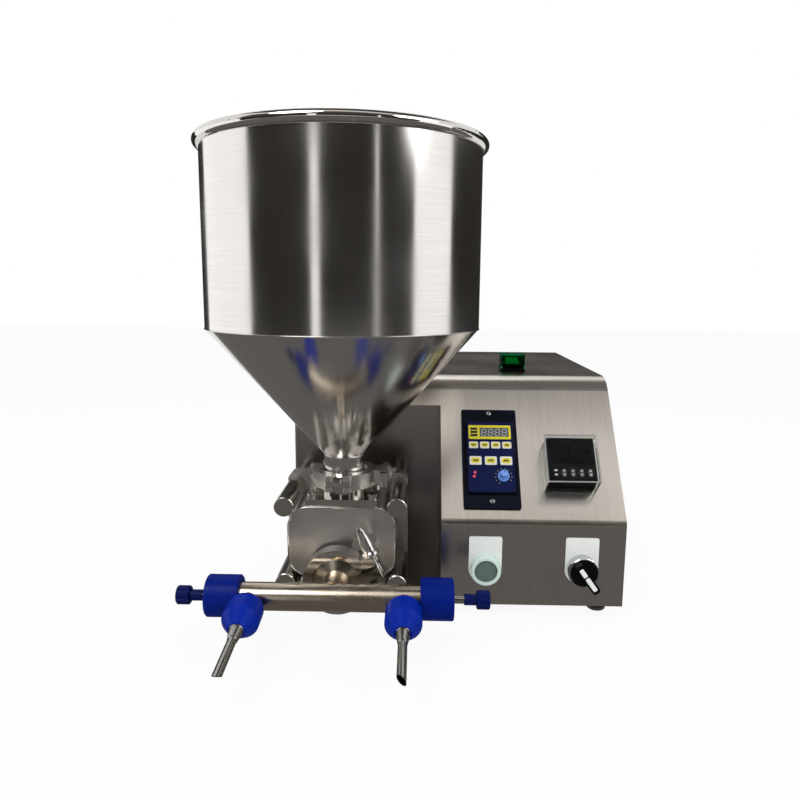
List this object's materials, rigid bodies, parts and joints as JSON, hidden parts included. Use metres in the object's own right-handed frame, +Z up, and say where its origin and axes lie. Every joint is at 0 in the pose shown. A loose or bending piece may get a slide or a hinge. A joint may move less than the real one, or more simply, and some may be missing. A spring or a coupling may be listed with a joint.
{
  "type": "donut filler machine",
  "caption": "Desktop pastry filler: conical hopper over a gear pump, front manifold with injection needles, and a slanted control box with speed controller and start button.",
  "frame": {"origin": "centre of the bounding box's footprint, on the bench plane under the feet", "axes": "+X to the control box's side, +Y to the rear, +Z up; the needles point to -Y"},
  "size_m": [0.421, 0.5945, 0.456],
  "materials": {
    "brushed_sheet": "brushed",
    "polished_steel": "polished",
    "machined_steel": "turned",
    "chrome_bezel": "bright",
    "blue_nylon": "machined",
    "navy_nylon": "moulded",
    "navy_case": "gloss",
    "keypad_film": "film",
    "light_blue_plastic": "gloss",
    "black_plastic": "moulded",
    "clear_plastic": "clear",
    "pale_green_plastic": "translucent",
    "green_lens": "gloss",
    "black_rubber": "moulded",
    "seal_rubber": "moulded",
    "motor_paint": "painted",
    "cast_aluminium": "cast",
    "zinc_steel": "zinc plated",
    "bronze": "turned"
  },
  "bodies": {
    "machine": {"base_pan": "brushed_sheet", "control_cover": "brushed_sheet", "drive_cover": "brushed_sheet", "right_side_panel": "brushed_sheet", "left_side_panel": "brushed_sheet", "control_box_side": "brushed_sheet", "recess_wall": "brushed_sheet", "rear_panel": "brushed_sheet", "rear_screws": "zinc_steel", "rubber_feet": "black_rubber", "foot_screws": "zinc_steel", "gearbox": "cast_aluminium", "drive_motor": "motor_paint", "power_gland": "black_plastic", "post_spacers": "machined_steel", "tie_studs": "machined_steel", "round_nuts": "machined_steel", "pump_back_plate": "machined_steel", "pump_body": "machined_steel", "body_bolts": "zinc_steel", "rotor_bushes": "bronze", "shaft_seal": "seal_rubber", "chamber_seal": "seal_rubber", "inlet_flange": "polished_steel", "flange_screws": "polished_steel", "clamp_gaskets": "seal_rubber", "hopper": "brushed_sheet", "inlet_clamp_back": "polished_steel", "inlet_clamp_left": "polished_steel", "inlet_clamp_front": "polished_steel", "inlet_clamp_links": "polished_steel", "outlet_clamp_upper": "polished_steel", "outlet_clamp_lower": "polished_steel", "outlet_clamp_link": "polished_steel", "manifold": "polished_steel", "end_caps": "blue_nylon", "nozzle_nuts": "blue_nylon", "needles": "machined_steel", "speed_controller": "navy_case", "controller_keypad": "keypad_film", "timer": "black_plastic", "timer_cover": "clear_plastic", "start_button_body": "pale_green_plastic", "selector_body": "chrome_bezel", "power_switch_body": "black_plastic", "power_switch_cover": "clear_plastic"},
    "drive_rotor": {"drive_gear": "machined_steel"},
    "idler_rotor": {"idler_gear": "machined_steel"},
    "inlet_bolt": {"inlet_clamp_bolt": "polished_steel"},
    "inlet_nut": {"inlet_wing_nut": "polished_steel"},
    "outlet_bolt": {"outlet_clamp_bolt": "polished_steel"},
    "outlet_nut": {"outlet_wing_nut": "polished_steel"},
    "left_screw": {"left_flow_screw": "machined_steel"},
    "left_knob": {"left_flow_knob": "navy_nylon"},
    "right_screw": {"right_flow_screw": "machined_steel"},
    "right_knob": {"right_flow_knob": "navy_nylon"},
    "dial": {"speed_dial": "light_blue_plastic"},
    "start_plunger": {"start_lens": "pale_green_plastic"},
    "selector": {"selector_lever": "black_plastic"},
    "rocker": {"power_rocker": "green_lens"}
  },
  "joints": [
    {"name": "drive_gear_spin", "type": "hinge", "parent": "machine", "child": "drive_rotor", "pos_m": [-0.0483, -0.08675, 0.079], "axis": [0, 1, 0], "continuous": true},
    {"name": "idler_gear_spin", "type": "hinge", "parent": "machine", "child": "idler_rotor", "pos_m": [-0.0847, -0.08675, 0.079], "axis": [0, 1, 0], "continuous": true},
    {"name": "inlet_bolt_swing", "type": "hinge", "parent": "machine", "child": "inlet_bolt", "pos_m": [-0.0265, -0.10945, 0.138], "axis": [0, 0, -1], "range_deg": [0, 75]},
    {"name": "inlet_nut_spin", "type": "hinge", "parent": "inlet_bolt", "child": "inlet_nut", "pos_m": [-0.0265, -0.07475, 0.138], "axis": [0, 1, 0], "continuous": true},
    {"name": "outlet_bolt_swing", "type": "hinge", "parent": "machine", "child": "outlet_bolt", "pos_m": [-0.02698, -0.14025, 0.04934], "axis": [0, 1, 0], "range_deg": [0, 75]},
    {"name": "outlet_nut_spin", "type": "hinge", "parent": "outlet_bolt", "child": "outlet_nut", "pos_m": [-0.04109, -0.14025, 0.08104], "axis": [-0.4067, 0, 0.9135], "continuous": true},
    {"name": "left_screw_travel", "type": "slide", "parent": "machine", "child": "left_screw", "axis": [1, 0, 0], "range_m": [-0.003, 0.004]},
    {"name": "left_knob_turn", "type": "hinge", "parent": "left_screw", "child": "left_knob", "pos_m": [-0.1825, -0.17875, 0.0465], "axis": [1, 0, 0], "range_deg": [-1080, 1440]},
    {"name": "right_screw_travel", "type": "slide", "parent": "machine", "child": "right_screw", "axis": [-1, 0, 0], "range_m": [-0.003, 0.004]},
    {"name": "right_knob_turn", "type": "hinge", "parent": "right_screw", "child": "right_knob", "pos_m": [0.04, -0.17875, 0.0465], "axis": [-1, 0, 0], "range_deg": [-1080, 1440]},
    {"name": "speed_dial_turn", "type": "hinge", "parent": "machine", "child": "dial", "pos_m": [0.0925, -0.09407, 0.13881], "axis": [0, -0.7779, 0.6283], "range_deg": [-150, 120]},
    {"name": "start_press", "type": "slide", "parent": "machine", "child": "start_plunger", "axis": [0, 1, 0], "range_m": [0, 0.003], "stiffness_N_per_m": 300, "springref_m": -0.002},
    {"name": "selector_turn", "type": "hinge", "parent": "machine", "child": "selector", "pos_m": [0.1684, -0.11675, 0.052], "axis": [0, -1, 0], "range_deg": [0, 90]},
    {"name": "power_rocker_tilt", "type": "hinge", "parent": "machine", "child": "rocker", "pos_m": [0.115, 0.04025, 0.235], "axis": [-1, 0, 0], "range_deg": [0, 24]}
  ],
  "couplings": [
    {"joint": "idler_gear_spin", "follows": "drive_gear_spin", "ratio": -1},
    {"joint": "left_knob_turn", "follows": "left_screw_travel", "rad_per_m": 6283.2},
    {"joint": "right_knob_turn", "follows": "right_screw_travel", "rad_per_m": 6283.2}
  ]
}
